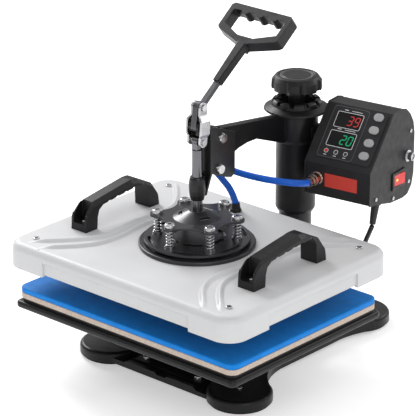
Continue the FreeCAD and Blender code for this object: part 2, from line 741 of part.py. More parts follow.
# ---- swing arm -----------------------------------------------------------------------------------------
def swing_arm():
    """The cast arm: a sleeve round the column, a swept beam and a flat head that the bracket clamps."""
    bore = POST_R + BUSH_WALL
    sleeve = turned_profile([(0, SLEEVE_LOW), (SLEEVE_R - 2.5, SLEEVE_LOW), (SLEEVE_R, SLEEVE_LOW + 5),
                             (SLEEVE_R, SLEEVE_BOSS_LOW), (SLEEVE_R + 2.5, SLEEVE_BOSS_LOW + 5),
                             (SLEEVE_R + 2.5, SLEEVE_TOP), (0, SLEEVE_TOP)], 0, COLUMN_Y)
    beam = [(40, 329), (COLUMN_Y - 20, SLEEVE_TOP - 0.5), (COLUMN_Y - 20, 268), (COLUMN_Y - 34, 272),
            (130, 286), (112, 293), (94, 293), (76, 290), (56, 283), (40, 283)]
    web = prism_x(beam, -BEAM_HALF, BEAM_HALF)
    upper_edges = edges_where(web, lambda e: abs(e.BoundBox.XMin) > 1 and e.BoundBox.ZMax > 300)
    long_edges = [edge for edge in upper_edges if edge.Length > 100]
    web = web.makeFillet(2.5, long_edges)
    head = prism_x([(HEAD_BACK, 334), (56, 316), (56, 266), (HEAD_BACK, 276)], -ARM_HALF, ARM_HALF)
    arm = sleeve.fuse(web).fuse(head)
    holes = [rod_z(0, COLUMN_Y, SLEEVE_LOW - 1, SLEEVE_TOP + 1, bore)]
    holes += [rod_x(y, z, -20, 20, 4.0) for y, z in HEAD_BOLTS]
    return cut(arm, holes)


def sleeve_bushes():
    inner, outer = POST_R + RUN_FIT, POST_R + BUSH_WALL
    rings = []
    for low, top in ((SLEEVE_LOW + 2, SLEEVE_LOW + 27), (SLEEVE_TOP - 27, SLEEVE_TOP - 2)):
        rings.append(turned_profile([(inner, low), (outer, low), (outer, top), (inner, top)], 0, COLUMN_Y))
    return group(rings)


def top_bell():
    """The bell-shaped ring on the sleeve: a flat seat for the ring nut and a notch over the beam."""
    z, bore, seat = SLEEVE_TOP, 24.6, 33.4
    bell = turned_profile([(bore, z), (43, z), (44.5, z + 1.5), (43.5, z + 3.5), (36, z + 6.5),
                           (seat, z + 7.5), (seat, z + 5), (bore, z + 5)], 0, COLUMN_Y)
    half = BEAM_HALF + 0.2
    return cut(bell, [block(-half, half, COLUMN_Y - 50, COLUMN_Y - 20, z - 1, z + 3.2)])


def lock_ring():
    """The castellated ring nut seated in the bell."""
    z, tall, inner, outer = SLEEVE_TOP + 5, 10, 26.0, 33.0
    ring = turned_profile([(inner, z), (outer, z), (outer, z + tall - 2), (outer - 2, z + tall),
                           (inner, z + tall)], 0, COLUMN_Y)
    tools = []
    for k in range(10):
        turn = 36 * k + 10
        angle = math.radians(turn)
        slot = block(24, 36, COLUMN_Y - 3.5, COLUMN_Y + 3.5, z + tall - 4.5, z + tall + 1)
        tools.append(turned(slot, Vector(0, COLUMN_Y, 0), Z_AXIS, turn))
        x, y = 36.2 * math.cos(angle), COLUMN_Y + 36.2 * math.sin(angle)
        tools.append(rod_z(x, y, z + 4, z + tall + 1, 4.5))
    return cut(ring, tools)


def pressure_knob():
    """The lobed height knob: a ribbed cap with a dished top on a tapering hub."""
    z = KNOB_LOW
    cap = turned_profile([(0, z), (34, z), (34.5, z + 3), (34, z + 12), (29, z + 18), (25.5, z + 19),
                          (24.5, z + 17.5), (20, z + 17.5), (19, z + 18.5), (0, z + 18.5)], 0, COLUMN_Y)
    grips = []
    for k in range(8):
        angle = math.radians(45 * k + 12)
        grips.append(rod_z(39 * math.cos(angle), COLUMN_Y + 39 * math.sin(angle), z - 1, z + 21, 8.5))
    hub = turned_profile([(0, POST_TOP + 1), (9.5, POST_TOP + 1), (13.0, z + 1), (0, z + 1)], 0, COLUMN_Y)
    return joined([cut(cap, grips), hub])


def knob_spindle():
    """The threaded spindle below the knob, inside the column."""
    return rod_z(0, COLUMN_Y, POST_TOP - 60, POST_TOP + 1, SPINDLE_R)


def head_bracket():
    """The folded bracket bolted over the arm's head: front web, two cheeks, pivot ears and a tapering leg."""
    t = BRACKET_THICK
    outer = ARM_HALF + t
    cheek = [(WEB_Y, 340), (59, 320), (59, 262), (52, 258), (42, 261), (30, 266), (WEB_Y, 274)]
    cheeks = [prism_x(cheek, ARM_HALF, outer), prism_x(cheek, -outer, -ARM_HALF)]
    shield = [(-outer, 274), (-3.5, 241), (3.5, 241), (outer, 274), (outer, 340), (-outer, 340)]
    web = prism_y(shield, WEB_Y, WEB_Y + t)
    ears = []
    for side in (-1, 1):
        x0, x1 = sorted([side * EAR_IN, side * EAR_OUT])
        ears.append(joined([rod_x(0, PIVOT_Z, x0, x1, 7.5),
                            block(x0, x1, 0, WEB_Y + 1, PIVOT_Z - 7.5, PIVOT_Z + 2.4)]))
    seat = block(-3.5, 3.5, 9.0, WEB_Y + 1, 246, 268)
    bracket = joined(cheeks + [web, seat] + ears)
    holes = [rod_x(y, z, -30, 30, 4.0) for y, z in HEAD_BOLTS]
    holes.append(rod_x(0, PIVOT_Z, -30, 30, 3.5))
    holes.append(rod_z(0, 0, 200, 300, COLLAR_R))
    return cut(bracket, holes)


def head_bolts():
    bolts = []
    outer = ARM_HALF + BRACKET_THICK
    for y, z in HEAD_BOLTS:
        head = hex_head(outer, y, z, X_AXIS, 13, 5.3)
        nut = hex_head(-outer, y, z, -X_AXIS, 13, 5.3)
        bolts.append(joined([head, nut, rod_x(y, z, -outer - 1, outer + 1, 4.0)]))
    return group(bolts)


def guide_collar():
    """The black barrel that guides the plunger."""
    bore = ROD_R + 2 * RUN_FIT
    return turned_profile([(bore, COLLAR_LOW), (9.0, COLLAR_LOW), (10.3, COLLAR_LOW + 7),
                           (COLLAR_R, COLLAR_LOW + 13), (COLLAR_R, COLLAR_TOP - 9), (10.2, COLLAR_TOP - 2.5),
                           (9.2, COLLAR_TOP), (bore, COLLAR_TOP)])


# ---- control box ---------------------------------------------------------------------------------------
def box_place(shape):
    """Place a shape drawn in the box's own axes: X across, Y back from its front face, Z above its datum."""
    copy = turned(shape, Vector(0, 0, 0), Z_AXIS, BOX_TURN_DEG)
    return moved(copy, BOX_X, BOX_Y, BOX_LIFT)


def box_point(x, y, z):
    a = math.radians(BOX_TURN_DEG)
    turned_x = x * math.cos(a) - y * math.sin(a)
    turned_y = x * math.sin(a) + y * math.cos(a)
    return Vector(BOX_X + turned_x, BOX_Y + turned_y, BOX_LIFT + z)


def box_side_outline(grow=0.0):
    """Side view of the control box: flat front, sloping panel, short top, rounded back."""
    g = grow
    return [(-g, 113 - g), (-g, PANEL_LOW_Z), (PANEL_TOP_Y, PANEL_TOP_Z + g), (84, PANEL_TOP_Z + g),
            (95, 220 + g), (106, 211), (114 + g, 198), (118 + g, 181), (118 + g, 124), (113 + g, 107),
            (103, 98 - g), (90, 96.5 - g), (56, 100 - g), (26, 108 - g)]


def panel_place(shape):
    """Place a shape drawn on the sloping panel: X across, Y up the panel, Z out of it."""
    copy = turned(shape, Vector(0, 0, 0), X_AXIS, math.degrees(PANEL_ANGLE))
    return box_place(moved(copy, 0, 0, PANEL_LOW_Z))


def box_shell():
    """The folded steel body of the control box, open at both sides."""
    w = BOX_WALL
    body = prism_x(box_side_outline(), 1.5, BOX_W - 1.5)
    inner = prism_x([(w, 116), (w, 157.2), (PANEL_TOP_Y + 0.9, PANEL_TOP_Z - w), (83.3, PANEL_TOP_Z - w),
                     (93.9, 218.2), (104.6, 209.8), (112.2, 197.4), (116, 180.6), (116, 124.4), (111.2, 108.2),
                     (102.2, 99.9), (90, 98.5), (56.4, 102), (26.6, 110)], 0, BOX_W)
    inner = inner.common(block(0, BOX_W, w, 117, 90, 240))
    body = cut(body, [inner])
    tools = [rod_y(SOCKET_X, SOCKET_Z, -3, w + 1, 6.0)]
    shell = cut(body, tools)
    placed = box_place(shell)
    cuts = [relief_place(rod_z(0, 0, -8, 12, 5.0)), panel_place(block(18, 64, 14, 84, -10, 2))]
    cuts += [panel_place(button_shape(y, -6, 3, 0.35)) for y in BUTTON_YS]
    return cut(placed, cuts)


def side_plate(x0, x1):
    return prism_x(box_side_outline(0.8), x0, x1)


def box_left_plate():
    plate = side_plate(0, 1.5)
    return box_place(plate)


def box_right_plate():
    plate = side_plate(BOX_W - 1.5, BOX_W)
    window = block(BOX_W - 5, BOX_W + 5, ROCKER_Y - 14, ROCKER_Y + 14, ROCKER_Z - 9.5, ROCKER_Z + 9.5)
    fuse = rod_x(FUSE_Y, FUSE_Z, BOX_W - 5, BOX_W + 5, 6.0)
    return box_place(cut(plate, [window, fuse]))


def box_screw_places():
    return [(15.5, 117.5), (62.5, 104), (104.5, 115), (107, 186.5)]


def box_screws():
    screws = []
    for y, z in box_screw_places():
        screws.append(box_place(screw_head(Vector(BOX_W, y, z), X_AXIS, 2.6, 1.6)))
        screws.append(box_place(screw_head(Vector(0, y, z), -X_AXIS, 2.6, 1.6)))
    return group(screws)


def panel_overlay():
    """The flat membrane on the sloping panel, with windows for the displays, lamps and buttons."""
    sheet = rounded_panel(12, 94, 9, 87, -0.2, 0.8, 5)
    tools = [block(21.5, 59.5, y0, y1, -2, 3) for y0, y1 in DISPLAY_YS]
    tools += [rod_z(x, LAMP_Y, -2, 3, 2.6) for x in LAMP_XS]
    tools += [button_shape(y, -3, 3, 0.35) for y in BUTTON_YS]
    lower = block(0, BOX_W, 0, 100, -2, 0)
    return panel_place(cut(sheet, [lower] + tools))


def rounded_panel(x0, x1, y0, y1, z0, z1, corner):
    slab = block(x0, x1, y0, y1, z0, z1)
    return slab.makeFillet(corner, edges_where(slab, is_upright))


def display_windows():
    return group([panel_place(block(21.7, 59.3, y0 + 0.2, y1 - 0.2, -3, 1.1)) for y0, y1 in DISPLAY_YS])


def indicator_lamps():
    lamps = []
    for x in LAMP_XS:
        lamp = rod_z(x, LAMP_Y, -3, 1.6, 2.3)
        lamps.append(panel_place(lamp.makeFillet(0.9, edges_where(lamp, at_height(1.6)))))
    return group(lamps)


def button_shape(y, z0, z1, grow=0.0):
    a, b = 7.2 + grow, 5.6 + grow
    slab = block(BUTTON_X - a, BUTTON_X + a, y - b, y + b, z0, z1)
    return slab.makeFillet(b - 0.05, edges_where(slab, is_upright))


def panel_button(index):
    button = button_shape(BUTTON_YS[index], -4.6, 2.6)
    top = edges_where(button, at_height(2.6))
    return panel_place(button.makeFillet(0.8, top))


def rocker_bezel():
    """The black frame of the rocker switch, on the right side plate."""
    frame = block(BOX_W, BOX_W + 2.2, ROCKER_Y - 17, ROCKER_Y + 17, ROCKER_Z - 12, ROCKER_Z + 12)
    frame = frame.makeFillet(1.0, edges_where(frame, lambda e: abs(e.BoundBox.XMin - BOX_W - 2.2) < EPS))
    body = block(BOX_W - 16, BOX_W + 1, ROCKER_Y - 13.8, ROCKER_Y + 13.8, ROCKER_Z - 9.3, ROCKER_Z + 9.3)
    well = block(BOX_W - 11, BOX_W + 3, ROCKER_Y - 12.2, ROCKER_Y + 12.2, ROCKER_Z - 8, ROCKER_Z + 8)
    pivot = rod_z(BOX_W - ROCKER_PIN_IN, ROCKER_Y, ROCKER_Z - 8.8, ROCKER_Z + 8.8, ROCKER_PIN_R + RUN_FIT)
    return box_place(cut(joined([frame, body]), [well, pivot]))


def power_rocker():
    """The red rocker, a shallow V that turns on a pin across its middle."""
    y, z, x = ROCKER_Y, ROCKER_Z, BOX_W
    outline = [(x - 4, y - 10.6), (x + 0.8, y - 10.8), (x + 2.4, y), (x + 4.8, y + 11.2), (x - 2, y + 11),
               (x - 8, y + 5), (x - 8, y - 5)]
    body = prism([Vector(a, b, z - 7.6) for a, b in outline], Vector(0, 0, 15.2))
    pin = rod_z(x - ROCKER_PIN_IN, y, z - 8.6, z + 8.6, ROCKER_PIN_R)
    return box_place(joined([body, pin]))


def fuse_holder():
    nut = joined([rod_x(FUSE_Y, FUSE_Z, BOX_W, BOX_W + 3, 8.0),
                  rod_x(FUSE_Y, FUSE_Z, BOX_W, BOX_W + 10, 5.6)])
    cap = cut(nut, [rod_x(FUSE_Y, FUSE_Z, BOX_W + 6, BOX_W + 11, 4.0)])
    knob = rod_x(FUSE_Y, FUSE_Z, BOX_W + 5.5, BOX_W + 9, 3.4)
    barrel = rod_x(FUSE_Y, FUSE_Z, BOX_W - 20, BOX_W + 1, 5.8)
    return box_place(joined([cap, knob, barrel]))


def front_label():
    """The plain red label on the front face."""
    return box_place(block(31, 80, -0.5, 0, 127, 146))


def cable_socket():
    """The round panel socket of the heater cable."""
    x, z = SOCKET_X, SOCKET_Z
    ring = joined([rod_y(x, z, -2.5, 0, 9.0), rod_y(x, z, -12, -2, 7.8), rod_y(x, z, -1, 12, 5.8)])
    return box_place(cut(ring, [rod_y(x, z, -13, -4, 5.6)]))


def cable_plug():
    """The cable's plug: coupling collar, body and end clamp."""
    x, z = SOCKET_X, SOCKET_Z
    parts = [rod_y(x, z, -20, -4, 5.3), rod_y(x, z, -17, -12.3, 6.8), rod_y(x, z, -PLUG_REACH, -19, 6.2)]
    return box_place(joined(parts))


def relief_place(shape):
    """Place a shape drawn down from Z = 0 onto the sloping underside of the box, square to it."""
    surface = 100.0 + (56.0 - GLAND_V) * 8.0 / 30.0
    copy = turned(shape, Vector(0, 0, 0), X_AXIS, -math.degrees(BOTTOM_SLOPE))
    return box_place(moved(copy, GLAND_U, GLAND_V, surface))


def cord_exit():
    surface = 100.0 + (56.0 - GLAND_V) * 8.0 / 30.0
    drop, back = RELIEF_LONG * math.cos(BOTTOM_SLOPE), RELIEF_LONG * math.sin(BOTTOM_SLOPE)
    return box_point(GLAND_U, GLAND_V - back, surface - drop)


def cord_relief():
    """The tapered strain relief under the box, where the power cord leaves."""
    r = POWER_CORD_D / 2
    collar = rod_z(0, 0, -3, 0, 7.2)
    stem = rod_z(0, 0, -1, 5, 4.8)
    profile = [(0, -RELIEF_LONG), (r + 0.9, -RELIEF_LONG), (5.8, -2), (0, -2)]
    return relief_place(joined([collar, stem, turned_profile(profile)]))


def box_bracket():
    """The folded plate that carries the control box on the arm's sleeve."""
    saddle = block(BUMP_X, BUMP_X + 4, COLUMN_Y - 4, COLUMN_Y + 18, 236, 292)
    reach = box_place(block(-5.5, -1.8, 36, 76, 130, 186))
    bridge = prism_z([(BUMP_X, COLUMN_Y), (BUMP_X + 12, COLUMN_Y), (BUMP_X + 12, COLUMN_Y + 16),
                      (BUMP_X, COLUMN_Y + 16)], 246, 282)
    bracket = joined([saddle, reach, bridge])
    sleeve = rod_z(0, COLUMN_Y, 200, 305, SLEEVE_R + 2.5)
    beyond = box_place(block(-1.8, 60, -20, 140, 60, 260))
    return cut(bracket, [sleeve, beyond])


# ---- cords ---------------------------------------------------------------------------------------------
def socket_exit():
    return box_point(SOCKET_X, -PLUG_REACH, SOCKET_Z)


def heater_cable():
    """The blue cable: out of the plug, under the arm behind the head bracket, and down into the cover."""
    points = [socket_exit()] + HEATER_ROUTE + [Vector(GLAND_XY[0], GLAND_XY[1], GLAND_TOP)]
    tube = cord_tube("heater_cable", points, HEATER_CABLE_D)
    return cut(tube, [cable_plug(), cable_gland()])


def power_cord():
    leave = (POWER_ROUTE[0] - cord_exit()).normalize()
    points = [cord_exit() + leave * RELIEF_GAP] + POWER_ROUTE
    return cord_tube("power_cord", points, POWER_CORD_D)


def power_cord_coil():
    """The wound spare length, as one ring of the coil's outer shape."""
    inner, outer = COIL_MEAN_R - COIL_HALF_W, COIL_MEAN_R + COIL_HALF_W
    low, top = COIL_LOW, COIL_LOW + COIL_TALL
    return turned_profile([(inner, low + 2), (inner + 2, low), (outer - 2, low), (outer, low + 2),
                           (outer, top - 2), (outer - 2, top), (inner + 2, top), (inner, top - 2)],
                          COIL_X, COIL_Y)


def cord_tie():
    """The strap that holds the coil together."""
    gap, thick, half = 0.15, 1.0, 6.0
    y = COIL_Y + COIL_MEAN_R
    reach = COIL_HALF_W + gap
    band = block(COIL_X - half, COIL_X + half, y - reach - thick, y + reach + thick + 0.6,
                 COIL_LOW - gap - thick, COIL_LOW + COIL_TALL + gap + thick)
    ring = block(COIL_X - 30, COIL_X + 30, y - reach - 0.4, y + reach + 0.1,
                 COIL_LOW - gap, COIL_LOW + COIL_TALL + gap)
    return cut(band, [ring])


def power_plug():
    """A plain two-pin mains plug with its tapered tail, beside the coil."""
    x, y, z = PLUG_AT
    body = rod_x(y, z, x - 30, x, 11.0)
    body = body.makeFillet(3.0, edges_where(body, lambda e: abs(e.BoundBox.XMin - e.BoundBox.XMax) < EPS))
    tail = Part.makeCone(7.5, 4.2, PLUG_TAIL, Vector(x - 1, y, z), X_AXIS)
    pins = [rod_x(y + s * 9.5, z, x - 49, x - 29, 2.0) for s in (-0.6, 0.6)]
    return joined([body, tail] + pins)


BASE_NODES = {
    "base_casting": base_casting,
    "foot_pads": foot_pads,
    "column_post": column_post,
    "platen_support": platen_support,
    "base_fasteners": base_fasteners,
    "lower_tray": lower_tray,
    "pad_board": pad_board,
    "silicone_pad": silicone_pad,
}
ARM_NODES = {
    "swing_arm": swing_arm,
    "sleeve_bushes": sleeve_bushes,
    "top_bell": top_bell,
    "lock_ring": lock_ring,
    "head_bracket": head_bracket,
    "head_bolts": head_bolts,
    "guide_collar": guide_collar,
    "pivot_pin": pivot_pin,
    "box_bracket": box_bracket,
    "box_shell": box_shell,
    "box_left_plate": box_left_plate,
    "box_right_plate": box_right_plate,
    "box_screws": box_screws,
    "panel_overlay": panel_overlay,
    "display_windows": display_windows,
    "indicator_lamps": indicator_lamps,
    "rocker_bezel": rocker_bezel,
    "fuse_holder": fuse_holder,
    "front_label": front_label,
    "cable_socket": cable_socket,
    "cable_plug": cable_plug,
    "cord_relief": cord_relief,
    "heater_cable": heater_cable,
}
MOVING_NODES = {
    "pressure_knob": pressure_knob,
    "knob_spindle": knob_spindle,
    "power_rocker": power_rocker,
    "lever_bar": lever_bar,
    "lever_grip": lever_grip,
    "upper_pin": upper_pin,
    "link_plates": link_plates,
    "plunger_rod": plunger_rod,
    "lower_pin": lower_pin,
    "spider_plate": spider_plate,
    "cover": cover,
    "platen_screws": platen_screws,
    "heating_plate": heating_plate,
    "heating_element": heating_element,
    "insulation_sheet": insulation_sheet,
    "mounting_disc": mounting_disc,
    "slotted_disc": slotted_disc,
    "spring_bolts": spring_bolts,
    "float_springs": float_springs,
    "platen_handles": platen_handles,
    "cable_gland": cable_gland,
}
CORD_NODES = {
    "power_cord": power_cord,
    "power_cord_coil": power_cord_coil,
    "cord_tie": cord_tie,
    "power_plug": power_plug,
}


def main():
    os.makedirs("parts", exist_ok=True)
    makers = {**BASE_NODES, **ARM_NODES, **MOVING_NODES, **CORD_NODES}
    for index in range(len(BUTTON_YS)):
        makers["button_%d" % (index + 1)] = lambda i=index: panel_button(i)
    shapes = {name: make() for name, make in makers.items()}
    whole = FreeCAD.BoundBox()
    for name, shape in shapes.items():
        if name not in CORD_NODES:
            whole.add(shape.BoundBox)
    shift = Vector(-whole.Center.x, -whole.Center.y, -whole.ZMin)
    print("shift %.4f %.4f %.4f" % tuple(shift), "nodes", len(shapes))
    for name, shape in shapes.items():
        shape = shape.copy()
        shape.translate(shift)
        if not shape.isValid() or shape.Volume <= 0:
            print("BAD", name, shape.isValid(), shape.Volume)
        shape.exportStep("parts/%s.step" % name)


if __name__ == "__main__":
    main()
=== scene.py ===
import math

import bmesh
import bpy
from mathutils import Matrix, Vector


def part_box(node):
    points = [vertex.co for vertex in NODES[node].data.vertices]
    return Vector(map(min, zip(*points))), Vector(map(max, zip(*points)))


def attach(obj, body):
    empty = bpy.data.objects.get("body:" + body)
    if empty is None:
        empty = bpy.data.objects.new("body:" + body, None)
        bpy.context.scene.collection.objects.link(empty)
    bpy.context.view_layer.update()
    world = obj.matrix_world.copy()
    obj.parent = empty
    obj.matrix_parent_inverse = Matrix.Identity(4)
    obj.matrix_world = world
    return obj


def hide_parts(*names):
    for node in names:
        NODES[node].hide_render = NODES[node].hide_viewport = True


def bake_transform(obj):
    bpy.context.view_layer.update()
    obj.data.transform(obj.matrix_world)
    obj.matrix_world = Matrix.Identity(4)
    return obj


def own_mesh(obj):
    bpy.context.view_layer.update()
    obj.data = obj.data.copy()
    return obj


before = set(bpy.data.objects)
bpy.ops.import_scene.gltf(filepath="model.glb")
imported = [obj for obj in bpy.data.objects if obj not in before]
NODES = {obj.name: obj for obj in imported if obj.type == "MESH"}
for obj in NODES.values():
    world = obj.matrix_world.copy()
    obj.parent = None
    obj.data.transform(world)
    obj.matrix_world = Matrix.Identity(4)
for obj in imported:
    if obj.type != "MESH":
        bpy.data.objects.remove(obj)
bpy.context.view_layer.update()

# The CAD source is drawn about the plunger's axis and moved back by this much when it is exported. Metres.
SHIFT_Y = -0.0708885
MM = 0.001


def row(x, y, z):
    """A point of the CAD source, in millimetres about the plunger's axis, in the row frame in metres."""
    return Vector((x * MM, y * MM + SHIFT_Y, z * MM))


def place(x, y, z):
    """A point of the CAD source, in metres, in the row frame."""
    return Vector((x, y + SHIFT_Y, z))


# ---- camera --------------------------------------------------------------------------------------
AZIMUTH = math.radians(41.75)
ELEVATION = math.radians(21.73)
LENS = 233.74
EYE = Vector((2.19255, -2.50629, 1.53235))

data = bpy.data.cameras.new("camera")
data.lens = LENS
data.sensor_width = 36.0
data.clip_start = 0.1
data.clip_end = 60.0
camera = bpy.data.objects.new("camera", data)
bpy.context.scene.collection.objects.link(camera)
look = Vector((-math.sin(AZIMUTH) * math.cos(ELEVATION), math.cos(AZIMUTH) * math.cos(ELEVATION),
               -math.sin(ELEVATION)))
camera.location = EYE
camera.rotation_mode = "QUATERNION"
camera.rotation_quaternion = look.to_track_quat("-Z", "Y")
bpy.context.scene.camera = camera


# ---- mesh helpers --------------------------------------------------------------------------------
def new_object(name, verts, faces, smooth=True):
    mesh = bpy.data.meshes.new(name)
    mesh.from_pydata([tuple(v) for v in verts], [], faces)
    mesh.update()
    bm = bmesh.new()
    bm.from_mesh(mesh)
    bmesh.ops.recalc_face_normals(bm, faces=bm.faces[:])
    bm.to_mesh(mesh)
    bm.free()
    for polygon in mesh.polygons:
        polygon.use_smooth = smooth
    made = bpy.data.objects.new(name, mesh)
    bpy.context.scene.collection.objects.link(made)
    return made


def merge_lists(parts):
    """Several (verts, faces) pairs as one."""
    verts, faces = [], []
    for part_verts, part_faces in parts:
        start = len(verts)
        verts.extend(part_verts)
        faces.extend([tuple(i + start for i in face) for face in part_faces])
    return verts, faces


def swept_tube(path, radius, sides=16, caps=True):
    """A round tube along the points of path, with frames carried along it without twist."""
    verts, faces = [], []
    count = len(path)
    tangents = []
    for i in range(count):
        ahead, behind = path[min(i + 1, count - 1)], path[max(i - 1, 0)]
        tangents.append((ahead - behind).normalized())
    side = tangents[0].orthogonal().normalized()
    for i, centre in enumerate(path):
        side = (side - tangents[i] * side.dot(tangents[i])).normalized()
        across = tangents[i].cross(side)
        for k in range(sides):
            turn = 2 * math.pi * k / sides
            verts.append(centre + (side * math.cos(turn) + across * math.sin(turn)) * radius)
    for i in range(count - 1):
        for k in range(sides):
            n = (k + 1) % sides
            faces.append((i * sides + k, i * sides + n, (i + 1) * sides + n, (i + 1) * sides + k))
    if caps:
        faces.append(tuple(range(sides)))
        faces.append(tuple((count - 1) * sides + k for k in range(sides)))
    return verts, faces


def centreline(name, points, resolution=8):
    """The line of the NURBS spline whose control points are these."""
    curve = bpy.data.curves.new(name, "CURVE")
    curve.dimensions = "3D"
    curve.resolution_u = resolution
    spline = curve.splines.new("NURBS")
    spline.points.add(len(points) - 1)
    for point, at in zip(spline.points, points):
        point.co = (at[0], at[1], at[2], 1.0)
    spline.order_u = 3
    spline.use_endpoint_u = True
    holder = bpy.data.objects.new(name, curve)
    bpy.context.scene.collection.objects.link(holder)
    bpy.context.view_layer.update()
    graph = bpy.context.evaluated_depsgraph_get()
    line = bpy.data.meshes.new_from_object(holder.evaluated_get(graph))
    found = [v.co.copy() for v in line.vertices]
    bpy.data.meshes.remove(line)
    bpy.data.objects.remove(holder)
    bpy.data.curves.remove(curve)
    return found


def line_length(points):
    return sum((b - a).length for a, b in zip(points, points[1:]))


# ---- cords ---------------------------------------------------------------------------------------
POWER_D = 0.0065
HEATER_D = 0.009
COIL_AT = (-0.080, 0.354)
COIL_OUTER_R = 0.0425
COIL_INNER_R = 0.0295
COIL_TURNS = 3
COIL_LAYERS = (0.00445, 0.01095)
TURN_POINTS = 16

POWER_ROUTE = [(0.13835, 0.1940, 0.1795), (0.124, 0.197, 0.150), (0.105, 0.204, 0.115), (0.086, 0.212, 0.080),
               (0.070, 0.222, 0.050), (0.048, 0.236, 0.030), (0.022, 0.254, 0.0235), (-0.004, 0.276, 0.017),
               (-0.028, 0.298, 0.0075), (-0.054, 0.314, 0.0046)]


def coil_points():
    """Two layers, clockwise from above: inwards on the floor, then outwards on top of it."""
    x0, y0 = COIL_AT
    grow = 1 / math.cos(math.pi / TURN_POINTS)
    points = []
    for layer, z in enumerate(COIL_LAYERS):
        for i in range(COIL_TURNS * TURN_POINTS):
            at = i / TURN_POINTS
            radius = COIL_OUTER_R - at * POWER_D if layer == 0 else COIL_INNER_R + at * POWER_D
            radius = min(radius, COIL_OUTER_R)
            turn = -math.pi / 2 - 2 * math.pi * at
            points.append((x0 + radius * grow * math.cos(turn), y0 + radius * grow * math.sin(turn), z))
    return points


PLUG_TAIL = (-0.1045, 0.317, 0.011)
power_points = [place(*p) for p in POWER_ROUTE + coil_points()]
power_points += [place(-0.080, 0.3116, 0.01095), place(-0.094, 0.3148, 0.011), place(*PLUG_TAIL)]
power_line = centreline("power_line", power_points)
power_cord = new_object("mains_cord", *swept_tube(power_line, POWER_D / 2))
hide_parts("power_cord", "power_cord_coil")
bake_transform(power_cord)

HEATER_ROUTE = [(0.0777, 0.1324, 0.2430), (0.0776, 0.118, 0.2464), (0.069, 0.103, 0.2498),
                (0.048, 0.094, 0.250), (0.0226, 0.087, 0.2505), (0.0, 0.081, 0.2526),
                (-0.020, 0.076, 0.2565), (-0.041, 0.079, 0.254), (-0.053, 0.091, 0.242),
                (-0.049, 0.106, 0.223), (-0.041, 0.116, 0.205), (-0.038, 0.120, 0.188)]
heater_points = [place(*p) for p in HEATER_ROUTE]
heater_line = centreline("heater_line", heater_points, 12)
heater_cable = new_object("heater_cable_sleeve", *swept_tube(heater_line, HEATER_D / 2, 20))
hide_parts("heater_cable")
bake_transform(heater_cable)


# ---- materials -----------------------------------------------------------------------------------
def node(tree, kind, **settings):
    made = tree.nodes.new(kind)
    for key, value in settings.items():
        setattr(made, key, value)
    return made


def noise(tree, coordinates, scale, detail=4.0, rough=0.55, stretch=None):
    source = coordinates
    if stretch is not None:
        mapping = node(tree, "ShaderNodeMapping")
        mapping.inputs["Scale"].default_value = stretch
        tree.links.new(coordinates, mapping.inputs["Vector"])
        source = mapping.outputs["Vector"]
    made = node(tree, "ShaderNodeTexNoise")
    made.inputs["Scale"].default_value = scale
    made.inputs["Detail"].default_value = detail
    made.inputs["Roughness"].default_value = rough
    tree.links.new(source, made.inputs["Vector"])
    return made.outputs["Fac"]


def ramp(tree, source, low, high, out_low, out_high):
    made = node(tree, "ShaderNodeMapRange")
    made.clamp = True
    for name, value in (("From Min", low), ("From Max", high), ("To Min", out_low), ("To Max", out_high)):
        made.inputs[name].default_value = value
    tree.links.new(source, made.inputs["Value"])
    return made.outputs["Result"]


def mixed(tree, factor, first, second):
    made = node(tree, "ShaderNodeMix", data_type="RGBA")
    made.inputs[6].default_value = (*first, 1.0) if not hasattr(first, "links") else (0, 0, 0, 1)
    if hasattr(first, "links"):
        tree.links.new(first, made.inputs[6])
    made.inputs[7].default_value = (*second, 1.0)
    tree.links.new(factor, made.inputs[0])
    return made.outputs[2]


